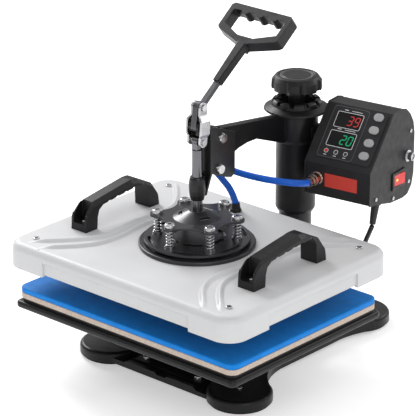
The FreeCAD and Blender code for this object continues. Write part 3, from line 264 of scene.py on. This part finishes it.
def surface(name, color, rough, metallic=0.0, grain=(), vary=0.12, vary_scale=30.0, rough_vary=0.08,
            edge=0.0006, wear_and_highlight=None, wear_and_highlight_amount=0.0, coat=0.0, coat_rough=0.1, specular=0.5, sheen=0.0,
            stretch=None, emission=None, strength=0.0):
    """A finish: mottled colour, uneven gloss, a fine grain and rounded, slightly rubbed edges, whose lighter
    colour is partly wear and partly a painted edge highlight.
    """
    material = bpy.data.materials.new(name)
    material.use_nodes = True
    tree = material.node_tree
    shader = tree.nodes["Principled BSDF"]
    coordinates = node(tree, "ShaderNodeTexCoord").outputs["Object"]
    mottle = noise(tree, coordinates, vary_scale, 5.0, 0.6, stretch)
    dark = tuple(c * (1 - vary) for c in color)
    light = tuple(min(1.0, c * (1 + vary)) for c in color)
    tint = mixed(tree, ramp(tree, mottle, 0.3, 0.7, 0.0, 1.0), dark, light)
    normal = None
    if edge > 0:
        bevel = node(tree, "ShaderNodeBevel", samples=4)
        bevel.inputs["Radius"].default_value = edge
        normal = bevel.outputs["Normal"]
        # Edges get a lighter colour: partly rubbed wear, partly a painted highlight along every edge.
        if wear_and_highlight is not None:
            geometry = node(tree, "ShaderNodeNewGeometry")
            dot = node(tree, "ShaderNodeVectorMath", operation="DOT_PRODUCT")
            tree.links.new(normal, dot.inputs[0])
            tree.links.new(geometry.outputs["Normal"], dot.inputs[1])
            rubbed_and_lit = ramp(tree, dot.outputs["Value"], 0.985, 0.90, 0.0, wear_and_highlight_amount)
            edge_wear_and_highlight = node(tree, "ShaderNodeMath", operation="MULTIPLY")
            tree.links.new(rubbed_and_lit, edge_wear_and_highlight.inputs[0])
            patches = ramp(tree, noise(tree, coordinates, 140.0), 0.35, 0.65, 0.35, 1.0)
            tree.links.new(patches, edge_wear_and_highlight.inputs[1])
            tint = mixed(tree, edge_wear_and_highlight.outputs[0], tint, wear_and_highlight)
    tree.links.new(tint, shader.inputs["Base Color"])
    gloss = ramp(tree, noise(tree, coordinates, vary_scale * 3.1, 4.0, 0.6, stretch), 0.3, 0.7,
                 max(0.02, rough - rough_vary), min(1.0, rough + rough_vary))
    tree.links.new(gloss, shader.inputs["Roughness"])
    for scale, height in grain:
        bump = node(tree, "ShaderNodeBump")
        bump.inputs["Distance"].default_value = height
        bump.inputs["Strength"].default_value = 1.0
        tree.links.new(noise(tree, coordinates, scale, 3.0, 0.6, stretch), bump.inputs["Height"])
        if normal is not None:
            tree.links.new(normal, bump.inputs["Normal"])
        normal = bump.outputs["Normal"]
    if normal is not None:
        tree.links.new(normal, shader.inputs["Normal"])
    shader.inputs["Metallic"].default_value = metallic
    shader.inputs["Coat Weight"].default_value = coat
    shader.inputs["Coat Roughness"].default_value = coat_rough
    shader.inputs["Specular IOR Level"].default_value = specular
    shader.inputs["Sheen Weight"].default_value = sheen
    if emission is not None:
        shader.inputs["Emission Color"].default_value = (*emission, 1.0)
        shader.inputs["Emission Strength"].default_value = strength
    return material


# The lighter edge colours below are partly wear and partly painted edge highlight.
GREY_WEAR_AND_HIGHLIGHT = (0.16, 0.16, 0.165)
satin_black = surface("satin_black", (0.008, 0.008, 0.009), 0.36, grain=((700, 0.00003),), vary=0.25,
                      wear_and_highlight=GREY_WEAR_AND_HIGHLIGHT, wear_and_highlight_amount=0.35, specular=0.30)
gloss_black = surface("gloss_black", (0.009, 0.009, 0.010), 0.30, grain=((900, 0.000008),), vary=0.1,
                      rough_vary=0.03, wear_and_highlight=GREY_WEAR_AND_HIGHLIGHT, wear_and_highlight_amount=0.45, specular=0.4, edge=0.0008)
textured_black = surface("textured_black", (0.012, 0.012, 0.0135), 0.48, grain=((1500, 0.00006),),
                         vary=0.25, wear_and_highlight=GREY_WEAR_AND_HIGHLIGHT, wear_and_highlight_amount=0.3, specular=0.32, edge=0.001)
rubber = surface("foot_rubber", (0.012, 0.012, 0.012), 0.75, grain=((900, 0.00006),), vary=0.3,
                 specular=0.3)
chrome = surface("bright_steel", (0.58, 0.58, 0.59), 0.16, metallic=1.0, grain=((600, 0.00001),),
                 vary=0.06, edge=0.0004)
zinc = surface("zinc_plate", (0.50, 0.505, 0.52), 0.24, metallic=1.0, grain=((350, 0.000015),), vary=0.12,
               wear_and_highlight=(0.85, 0.85, 0.86), wear_and_highlight_amount=0.5, edge=0.0008)
dark_bar = surface("lever_steel", (0.11, 0.113, 0.12), 0.34, metallic=1.0, grain=((60, 0.00003),),
                   vary=0.15, stretch=(14, 1.0, 1.0), wear_and_highlight=(0.5, 0.5, 0.52), wear_and_highlight_amount=0.6, edge=0.0012)
dark_nickel = surface("dark_nickel", (0.060, 0.061, 0.065), 0.30, metallic=0.75, grain=((900, 0.000006),),
                      vary=0.06, rough_vary=0.025, wear_and_highlight=(0.35, 0.35, 0.37), wear_and_highlight_amount=0.4, edge=0.0006)
rod_chrome = surface("rod_chrome", (0.16, 0.162, 0.17), 0.18, metallic=1.0, grain=((600, 0.000006),),
                     vary=0.05, rough_vary=0.03, edge=0.0004)
post_steel = surface("post_steel", (0.02, 0.02, 0.022), 0.33, metallic=0.4, grain=((300, 0.00002),),
                     vary=0.2, stretch=(1, 1, 8))
nylon = surface("black_nylon", (0.009, 0.009, 0.010), 0.40, grain=((1100, 0.00004),), vary=0.2,
                wear_and_highlight=GREY_WEAR_AND_HIGHLIGHT, wear_and_highlight_amount=0.25, specular=0.32, edge=0.0012)
cover_paint = surface("cover_paint", (0.66, 0.665, 0.67), 0.42, grain=((420, 0.00005), (90, 0.00008)),
                      vary=0.03, vary_scale=9, specular=0.4, edge=0.0015)
blue_pad = surface("blue_silicone", (0.0, 0.225, 0.72), 0.62, grain=((1300, 0.00008), (260, 0.00006)),
                   vary=0.10, vary_scale=55, specular=0.25, sheen=0.05, edge=0.001)
board = surface("sponge_board", (0.62, 0.52, 0.44), 0.85, grain=((850, 0.00018), (2600, 0.0001)),
                vary=0.16, vary_scale=420, specular=0.15, edge=0.0005)
bronze = surface("bronze", (0.55, 0.38, 0.16), 0.3, metallic=1.0, grain=((500, 0.00002),))
gold = surface("plated_connector", (0.62, 0.47, 0.40), 0.2, metallic=1.0, grain=((500, 0.00002),),
               vary=0.12, wear_and_highlight=(0.85, 0.75, 0.66), wear_and_highlight_amount=0.5)
overlay = surface("panel_membrane", (0.012, 0.012, 0.014), 0.38, grain=((1800, 0.00002),), vary=0.15,
                  specular=0.4, edge=0.0003)
glass = surface("display_glass", (0.008, 0.008, 0.009), 0.22, vary=0.05, rough_vary=0.0, specular=0.25,
                edge=0.0)
lamp_dark = surface("lamp_dark", (0.03, 0.02, 0.02), 0.3, vary=0.1, edge=0.0, coat=0.2)
rocker_red = surface("rocker_red", (0.62, 0.010, 0.008), 0.22, vary=0.1, vary_scale=90, coat=0.5,
                     edge=0.0006, emission=(0.8, 0.01, 0.005), strength=0.22)
label_red = surface("label_red", (0.60, 0.045, 0.03), 0.4, vary=0.08, grain=((1500, 0.00001),),
                    edge=0.0003)
blue_sleeve = surface("blue_sleeve", (0.002, 0.11, 0.60), 0.42, grain=((1400, 0.00006),), vary=0.12,
                      vary_scale=60, specular=0.4, edge=0.0)
pvc = surface("black_pvc", (0.012, 0.012, 0.012), 0.45, grain=((1200, 0.00003),), vary=0.2, edge=0.0004)
plate = surface("cast_aluminium", (0.42, 0.41, 0.40), 0.45, metallic=1.0, grain=((300, 0.00006),),
                vary=0.15)
wool = surface("glass_wool", (0.62, 0.58, 0.46), 0.95, grain=((500, 0.0004),), vary=0.2, vary_scale=200)
button_grey = surface("button_grey", (0.36, 0.37, 0.37), 0.5, grain=((1300, 0.00003),), vary=0.08,
                      vary_scale=150, edge=0.0008)
knob_face = surface("knob_face", (0.075, 0.078, 0.082), 0.5, grain=((1100, 0.00005),), vary=0.12,
                    edge=0.0)
white_ink = surface("white_ink", (0.78, 0.78, 0.78), 0.5, vary=0.04, edge=0.0)
grey_ink = surface("grey_ink", (0.10, 0.10, 0.105), 0.5, vary=0.05, edge=0.0)
red_light = surface("red_light", (0.2, 0.01, 0.01), 0.4, vary=0.05, edge=0.0, emission=(1.0, 0.05, 0.06),
                    strength=0.32)
green_light = surface("green_light", (0.0, 0.12, 0.05), 0.4, vary=0.05, edge=0.0,
                      emission=(0.0, 0.75, 0.30), strength=0.34)
amber_light = surface("amber_light", (0.9, 0.35, 0.02), 0.4, vary=0.05, edge=0.0,
                      emission=(1.0, 0.45, 0.05), strength=2.0)

FINISHES = {
    satin_black: "base_casting platen_support lower_tray swing_arm top_bell",
    gloss_black: "head_bracket guide_collar",
    textured_black: "box_bracket box_shell box_left_plate box_right_plate",
    rubber: "foot_pads",
    chrome: "platen_screws spring_bolts head_bolts pivot_pin upper_pin lower_pin knob_spindle "
            "base_fasteners box_screws",
    rod_chrome: "plunger_rod",
    zinc: "link_plates fuse_holder float_springs",
    dark_bar: "lever_bar",
    dark_nickel: "mounting_disc slotted_disc spider_plate",
    post_steel: "column_post",
    nylon: "lock_ring pressure_knob rocker_bezel lever_grip platen_handles cable_gland",
    cover_paint: "cover",
    blue_pad: "silicone_pad",
    board: "pad_board",
    bronze: "sleeve_bushes",
    gold: "cable_socket cable_plug",
    overlay: "panel_overlay",
    glass: "display_windows",
    lamp_dark: "indicator_lamps",
    rocker_red: "power_rocker",
    label_red: "front_label",
    pvc: "power_plug cord_relief cord_tie power_cord power_cord_coil",
    blue_sleeve: "heater_cable",
    plate: "heating_plate heating_element",
    wool: "insulation_sheet",
    button_grey: "button_1 button_2 button_3 button_4",
}
for finish, names in FINISHES.items():
    for name in names.split():
        NODES[name].data.materials.clear()
        NODES[name].data.materials.append(finish)


def dress(piece, finish):
    piece.data.materials.append(finish)
    return piece


dress(power_cord, pvc)
dress(heater_cable, blue_sleeve)

# ---- springs -------------------------------------------------------------------------------------
BOLT_CIRCLE = 53.2
SPRING_R = 4.6
SPRING_LOW, SPRING_TOP = 190.0, 212.0
WIRE_R = 1.15
SPRING_TURNS = 6


def spring(x, y):
    """One compression spring, its end turns closed flat."""
    path = []
    steps = SPRING_TURNS * 22
    low, top = SPRING_LOW + WIRE_R, SPRING_TOP - WIRE_R
    for i in range(steps + 1):
        share = i / steps
        rise = min(max((share * SPRING_TURNS - 0.7) / (SPRING_TURNS - 1.4), 0.0), 1.0)
        turn = 2 * math.pi * SPRING_TURNS * share
        along_x, along_y = x + SPRING_R * math.cos(turn), y + SPRING_R * math.sin(turn)
        path.append(row(along_x, along_y, low + (top - low) * rise))
    return swept_tube(path, WIRE_R * MM, 8)


angles = [math.radians(30 + 60 * k) for k in range(6)]
places = [(BOLT_CIRCLE * math.cos(angle), BOLT_CIRCLE * math.sin(angle)) for angle in angles]
springs = dress(new_object("spring_coils", *merge_lists([spring(x, y) for x, y in places])), zinc)
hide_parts("float_springs")
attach(springs, "platen")
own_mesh(springs)

# ---- cover ribs ----------------------------------------------------------------------------------
COVER_TOP = 176.0
RIB_HALF = 5.6
RIB_TALL = 4.2
RIB_SUNK = 0.08
RIB_RUN_OUT = 0.022
RIB_LINES = (((146, -150), (126, -130), (106, -108), (93, -82), (91, -48), (96, -16)),
             ((170, -144), (150, -124), (131, -104), (112, -78), (107, -46), (113, -14)))


def rib(points, side):
    """A pressed rib: its height runs out to nothing at both edges and both ends."""
    whole = list(points) + [(x, -y) for x, y in reversed(points)]
    line = centreline("rib_line", [row(side * x, y, COVER_TOP) for x, y in whole], 6)
    verts, faces = [], []
    across_count = 9
    total = line_length(line)
    run = 0.0
    for i, at in enumerate(line):
        ahead, behind = line[min(i + 1, len(line) - 1)], line[max(i - 1, 0)]
        along = (ahead - behind).normalized()
        across = Vector((-along.y, along.x, 0))
        if i:
            run += (at - line[i - 1]).length
        end = min(run, total - run) / RIB_RUN_OUT
        lift = 0.5 - 0.5 * math.cos(math.pi * min(1.0, end))
        for k in range(across_count):
            s = 2 * k / (across_count - 1) - 1
            height = RIB_TALL * lift * (0.5 + 0.5 * math.cos(math.pi * s)) - RIB_SUNK
            verts.append(at + across * (s * RIB_HALF * MM) + Vector((0, 0, height * MM)))
    for i in range(len(line) - 1):
        for k in range(across_count - 1):
            a = i * across_count + k
            faces.append((a, a + 1, a + across_count + 1, a + across_count))
    return verts, faces


rib_shapes = [rib(line, side) for line in RIB_LINES for side in (-1, 1)]
ribs = dress(new_object("cover_ribs", *merge_lists(rib_shapes)), cover_paint)
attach(ribs, "platen")


# ---- silicone pad --------------------------------------------------------------------------------
def soft_slab(name, low, high, corner, edge, crown, rows=3):
    """A soft sheet with round corners, rounded edges and a slightly crowned top."""
    centre = (low + high) / 2
    half = (high - low) / 2
    loops = []

    def outline(inset, z, lift=0.0):
        hx, hy, r = half.x - inset, half.y - inset, max(corner - inset, 0.001)
        ring = []
        for quadrant in range(4):
            cx = (hx - r) * (1 if quadrant in (0, 3) else -1)
            cy = (hy - r) * (1 if quadrant in (0, 1) else -1)
            for k in range(9):
                turn = math.radians(90 * quadrant + 90 * k / 8)
                x, y = cx + r * math.cos(turn), cy + r * math.sin(turn)
                ring.append(Vector((centre.x + x, centre.y + y, z + lift)))
        return ring

    for k in range(rows + 1):
        turn = math.pi / 2 * k / rows
        loops.append(outline(edge * (1 - math.sin(turn)), low.z + edge * (1 - math.cos(turn))))
    for k in range(rows + 1):
        turn = math.pi / 2 * k / rows
        loops.append(outline(edge * (1 - math.cos(turn)), high.z - edge + edge * math.sin(turn) - crown))
    for inset, share in ((0.006, 0.5), (0.016, 0.8), (0.040, 1.0)):
        loops.append(outline(inset, high.z - crown, crown * share))
    verts = [v for loop in loops for v in loop]
    n = len(loops[0])
    faces = [tuple(range(n)), tuple((len(loops) - 1) * n + i for i in range(n))]
    for i in range(len(loops) - 1):
        for k in range(n):
            faces.append((i * n + k, i * n + (k + 1) % n, (i + 1) * n + (k + 1) % n, (i + 1) * n + k))
    return new_object(name, verts, faces)


PAD_CORNER, PAD_EDGE, PAD_CROWN = 0.012, 0.0016, 0.0003
pad = dress(soft_slab("silicone_sheet", *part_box("silicone_pad"), PAD_CORNER, PAD_EDGE, PAD_CROWN), blue_pad)
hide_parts("silicone_pad")
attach(pad, "base")

# ---- control panel marks -------------------------------------------------------------------------
BOX_TURN = math.radians(9.0)
PANEL_TILT = math.atan2(65.5, 60.0)
BOX_FRAME = Matrix.Translation(row(54, 154, 105.5)) @ Matrix.Rotation(BOX_TURN, 4, "Z")
PANEL_FRAME = BOX_FRAME @ Matrix.Translation((0, 0, 0.158)) @ Matrix.Rotation(PANEL_TILT, 4, "X")


def flat_shape(outline, low, high):
    """A thin plate with this outline, in millimetres, as (verts, faces) in metres."""
    n = len(outline)
    verts = [Vector((x, y, z)) * MM for z in (low, high) for x, y in outline]
    faces = [tuple(reversed(range(n))), tuple(range(n, 2 * n))]
    faces += [(i, (i + 1) % n, n + (i + 1) % n, n + i) for i in range(n)]
    return verts, faces


def round_box(x0, x1, y0, y1, r, count=5):
    points = []
    centres = ((x1 - r, y1 - r), (x0 + r, y1 - r), (x0 + r, y0 + r), (x1 - r, y0 + r))
    for quadrant, (cx, cy) in enumerate(centres):
        for k in range(count + 1):
            turn = math.radians(90 * quadrant + 90 * k / count)
            points.append((cx + r * math.cos(turn), cy + r * math.sin(turn)))
    return points


def frame_line(x0, x1, y0, y1, r, width, low, high):
    """A thin closed line round a rectangle."""
    outer = round_box(x0, x1, y0, y1, r)
    inner = round_box(x0 + width, x1 - width, y0 + width, y1 - width, max(r - width, 0.2))
    n = len(outer)
    verts = [Vector((x, y, z)) * MM for ring in (outer, inner) for z in (low, high) for x, y in ring]
    faces = []
    for i in range(n):
        j = (i + 1) % n
        faces.append((n + i, n + j, 3 * n + j, 3 * n + i))
        faces.append((i, j, n + j, n + i))
        faces.append((2 * n + j, 2 * n + i, 3 * n + i, 3 * n + j))
        faces.append((j, i, 2 * n + i, 2 * n + j))
    return verts, faces


def segment(x0, y0, x1, y1, half):
    """One bar of a digit, with pointed ends."""
    along = Vector((x1 - x0, y1 - y0)).normalized()
    across = Vector((-along.y, along.x)) * half
    a, b = Vector((x0, y0)) + along * 0.25, Vector((x1, y1)) - along * 0.25
    points = [a, a + along * half + across, b - along * half + across, b, b - along * half - across,
              a + along * half - across]
    return [(p.x, p.y) for p in points]


SEGMENTS = {"0": "abcdef", "2": "abdeg", "3": "abcdg", "9": "abcdfg"}


def digit(char, x, y, wide, tall, low, high):
    """A seven-bar digit with its lower left corner at x, y, leaning a little."""
    lean = 0.12
    ends = {"a": (0, 2, 1, 2), "b": (1, 1, 1, 2), "c": (1, 0, 1, 1), "d": (0, 0, 1, 0), "e": (0, 0, 0, 1),
            "f": (0, 1, 0, 2), "g": (0, 1, 1, 1)}
    parts = []
    for name in SEGMENTS[char]:
        u0, v0, u1, v1 = ends[name]
        coordinates = []
        for u, v in ((u0, v0), (u1, v1)):
            coordinates.append((x + u * wide + v * tall / 2 * lean, y + v * tall / 2))
        (x0, y0), (x1, y1) = coordinates
        parts.append(flat_shape(segment(x0, y0, x1, y1, 0.75), low, high))
    return merge_lists(parts)


def on_frame(name, shape, matrix, finish, body="arm", smooth=False):
    verts, faces = shape
    piece = dress(new_object(name, [matrix @ v for v in verts], faces, smooth), finish)
    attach(piece, body)
    return piece


def disc_outline(x, y, r):
    """A circle of 16 sides."""
    return [(x + r * math.cos(k * math.pi / 8), y + r * math.sin(k * math.pi / 8)) for k in range(16)]


DIGIT_WIDE, DIGIT_TALL = 6.3, 12.6
DIGIT_LOW, DIGIT_TOP = 1.1, 1.3
TENS_X, UNITS_X = 39.5, 49.3
UPPER_DIGIT_Y, LOWER_DIGIT_Y = 60.0, 32.0
INK_LOW, DASH_TOP, LINE_TOP = 0.79, 0.95, 1.0
WINDOW_X = (20.6, 60.4)
WINDOW_ROWS = ((28, 49), (56, 77))
TITLE_ROWS = (52.4, 80.4)
LAMP_XS = (25.0, 39.7, 54.3)
LAMP_Y, LAMP_RING_R, LIT_R = 19.6, 3.2, 2.2


def number(text, y):
    """A reading of two digits, with its lower edge at y."""
    return merge_lists([digit(char, x, y, DIGIT_WIDE, DIGIT_TALL, DIGIT_LOW, DIGIT_TOP)
                        for char, x in zip(text, (TENS_X, UNITS_X))])


def dash(x0, x1, y0, y1, r=0.3):
    """A short printed bar, where a real panel has a word."""
    return flat_shape(round_box(x0, x1, y0, y1, r, 2), INK_LOW, DASH_TOP)


on_frame("red_digits", number("39", UPPER_DIGIT_Y), PANEL_FRAME, red_light)
on_frame("green_digits", number("20", LOWER_DIGIT_Y), PANEL_FRAME, green_light)
printed = [frame_line(*WINDOW_X, y0 - 1.1, y1 + 1.1, 2.4, 0.7, INK_LOW, LINE_TOP) for y0, y1 in WINDOW_ROWS]
for y in TITLE_ROWS:
    printed.append(dash(29, 35, y, y + 1.0))
    printed.append(dash(40, 56, y, y + 0.7))
for x in LAMP_XS:
    ring = (x - LAMP_RING_R, x + LAMP_RING_R, LAMP_Y - LAMP_RING_R, LAMP_Y + LAMP_RING_R)
    printed.append(frame_line(*ring, 3.15, 0.6, INK_LOW, LINE_TOP))
    printed.append(dash(x - 2.4, x + 2.4, 13.4, 14.2))
on_frame("panel_lines", merge_lists(printed), PANEL_FRAME, white_ink)
membrane_edge = frame_line(13.0, 66.5, 10.5, 85.5, 5.0, 0.6, INK_LOW, 0.9)
on_frame("membrane_edge", membrane_edge, PANEL_FRAME, grey_ink)
lit = flat_shape(disc_outline(LAMP_XS[0], LAMP_Y, LIT_R), 1.55, 1.75)
on_frame("lit_lamp", lit, PANEL_FRAME, red_light)

# ---- knob and rocker --------------------------------------------------------------------------------
def dome_disc(radius, low, tall, rings=6, sides=48):
    """A round pad with a rounded shoulder and a shallow dish."""
    profile = [(radius, 0.0), (radius, tall * 0.6), (radius - 0.4, tall), (radius * 0.93, tall),
               (radius * 0.9, tall * 0.5)]
    profile += [(radius * 0.9 * (1 - k / rings), tall * (0.5 - 0.2 * k / rings)) for k in range(1, rings)]
    verts, faces = [], []
    for r, z in profile:
        for k in range(sides):
            turn = 2 * math.pi * k / sides
            verts.append(Vector((r * math.cos(turn), r * math.sin(turn), low + z)) * MM)
    for i in range(len(profile) - 1):
        for k in range(sides):
            n = (k + 1) % sides
            faces.append((i * sides + k, i * sides + n, (i + 1) * sides + n, (i + 1) * sides + k))
    last = (len(profile) - 1) * sides
    faces.append(tuple(last + k for k in range(sides)))
    return verts, faces


COLUMN_Y = 200
FACE_R, FACE_TALL, FACE_BELOW_TOP = 23.0, 0.9, 1.3
knob_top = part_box("pressure_knob")[1].z / MM
knob_frame = Matrix.Translation(row(0, COLUMN_Y, 0))
knob_disc = dome_disc(FACE_R, knob_top - FACE_BELOW_TOP, FACE_TALL)
on_frame("knob_face", knob_disc, knob_frame, knob_face, "knob", True)

SPOT_Y, SPOT_Z, SPOT_R = 70.5, 127.5, 1.8
BEYOND_BOX_X = 130
outside = BOX_FRAME @ (Vector((BEYOND_BOX_X, SPOT_Y, SPOT_Z)) * MM)
inwards = BOX_FRAME.to_3x3() @ Vector((-1, 0, 0))
_, spot_at, spot_normal, _ = NODES["power_rocker"].ray_cast(outside, inwards)
spot_frame = Matrix.Translation(spot_at) @ spot_normal.to_track_quat("Z", "Y").to_matrix().to_4x4()
spot = flat_shape(disc_outline(0, 0, SPOT_R), -0.1, 0.12)
on_frame("rocker_spot", spot, spot_frame, amber_light, "rocker")

# ---- floor, light --------------------------------------------------------------------------------
floor_material = surface("floor_white", (0.88, 0.88, 0.88), 0.8, vary=0.004, edge=0.0, specular=0.1,
                         emission=(1.0, 1.0, 1.0), strength=0.42)
FLOOR_HALF = 12
FLOOR_DROP = 0.0002
corners = [(-FLOOR_HALF, -FLOOR_HALF, 0), (FLOOR_HALF, -FLOOR_HALF, 0), (FLOOR_HALF, FLOOR_HALF, 0),
           (-FLOOR_HALF, FLOOR_HALF, 0)]
floor = dress(new_object("floor", corners, [(0, 1, 2, 3)], False), floor_material)
floor.location.z = -FLOOR_DROP

world = bpy.data.worlds.new("studio")
bpy.context.scene.world = world
world.use_nodes = True
tree = world.node_tree
background = tree.nodes["Background"]
direction = node(tree, "ShaderNodeTexCoord").outputs["Generated"]
split = node(tree, "ShaderNodeSeparateXYZ")
tree.links.new(direction, split.inputs[0])
HORIZON, ZENITH = (0.22, 0.225, 0.23), (1.0, 1.0, 1.0)
sky = mixed(tree, ramp(tree, split.outputs["Z"], 0.02, 0.55, 0.0, 1.0), HORIZON, ZENITH)
tree.links.new(sky, background.inputs["Color"])
background.inputs["Strength"].default_value = 0.72


def area_light(name, at, target, size, power):
    lamp = bpy.data.lights.new(name, "AREA")
    lamp.shape = "RECTANGLE"
    lamp.size, lamp.size_y = size
    lamp.energy = power
    holder = bpy.data.objects.new(name, lamp)
    bpy.context.scene.collection.objects.link(holder)
    holder.location = at
    holder.rotation_mode = "QUATERNION"
    holder.rotation_quaternion = (Vector(target) - Vector(at)).to_track_quat("-Z", "Y")
    return holder


AIM = (0.0, 0.0, 0.18)
area_light("key", (-1.9, 0.5, 1.5), AIM, (0.9, 0.9), 40)
area_light("fill", (2.0, -1.2, 1.2), AIM, (1.6, 1.2), 10)
area_light("rim", (0.6, 2.2, 1.5), AIM, (1.6, 1.0), 14)
bpy.context.scene.view_settings.view_transform = "Standard"
